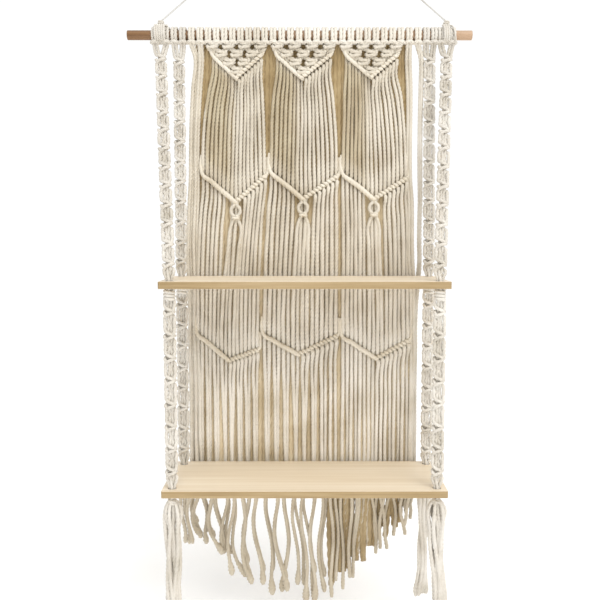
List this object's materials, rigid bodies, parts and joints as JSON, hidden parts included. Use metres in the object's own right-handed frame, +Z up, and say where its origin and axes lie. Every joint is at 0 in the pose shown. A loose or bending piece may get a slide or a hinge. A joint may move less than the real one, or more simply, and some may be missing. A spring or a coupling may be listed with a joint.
{
  "type": "macrame wall shelf with wooden dowel and nail",
  "caption": "Hanging wall shelf: wooden boards held by knotted cotton braids in front of a fringed macrame panel, on a dowel with a thin hanging cord over a nail",
  "frame": {"origin": "the point where the nail that holds the shelf enters the wall", "axes": "+Z up; +X to the right as seen from the room; -Y towards the room, so the wall is the plane y = 0"},
  "size_m": [0.4554, 0.1426, 0.9545],
  "materials": {
    "cotton_cord": "matte twisted cotton",
    "pale_cotton": "matte twisted cotton",
    "hanging_cord": "fine twisted cord",
    "board_wood": "sanded, bare",
    "dowel_wood": "sanded, oiled",
    "steel": "bright"
  },
  "bodies": {
    "root": {"nail": "steel", "dowel": "dowel_wood", "shelf_upper": "board_wood", "shelf_lower": "board_wood", "macrame_panel": "cotton_cord", "fringe": "cotton_cord", "braid_front_left": "pale_cotton", "tassel_front_left": "pale_cotton", "braid_back_left": "pale_cotton", "tassel_back_left": "pale_cotton", "braid_front_right": "pale_cotton", "tassel_front_right": "pale_cotton", "braid_back_right": "pale_cotton", "tassel_back_right": "pale_cotton", "hanger_knot_left": "hanging_cord", "hanger_knot_right": "hanging_cord", "hanger_cord": "hanging_cord"}
  },
  "joints": []
}
